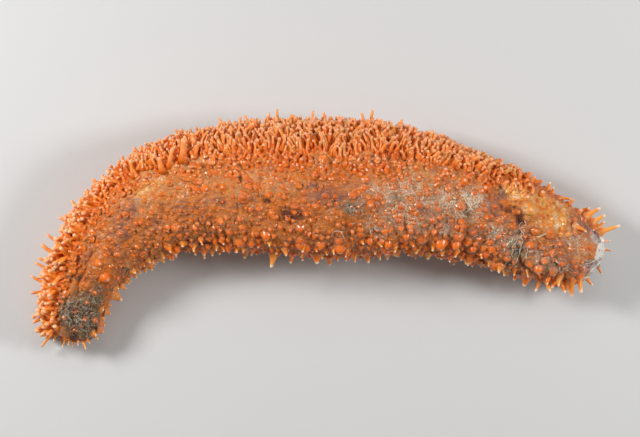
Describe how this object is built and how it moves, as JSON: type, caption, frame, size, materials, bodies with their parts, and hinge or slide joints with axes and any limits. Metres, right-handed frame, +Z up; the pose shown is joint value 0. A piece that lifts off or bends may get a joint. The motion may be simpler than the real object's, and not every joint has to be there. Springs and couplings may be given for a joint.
{
  "type": "sea cucumber",
  "caption": "Life-size sea cucumber lying on one flank with its body bent in an arch, the sole crowded with tube feet and the back set with cone-shaped papillae.",
  "frame": {"origin": "middle of the part's box in plan, on the floor that the flank lies on", "axes": "+X towards the vent end, +Y towards the sole on the outside of the bend, +Z up"},
  "size_m": [0.1773, 0.072, 0.0336],
  "materials": {
    "orange_flesh": "wet soft skin, orange, satin",
    "dusky_mouth_skin": "wet soft skin, brownish, satin",
    "pale_end_skin": "wet thin skin, pale grey, satin"
  },
  "bodies": {
    "root": {"mouth_disc": "dusky_mouth_skin", "mouth_end": "orange_flesh", "body_front": "orange_flesh", "body_mid_front": "orange_flesh", "body_mid_rear": "orange_flesh", "body_rear": "orange_flesh", "vent_end": "orange_flesh", "vent_cap": "pale_end_skin"}
  },
  "joints": []
}
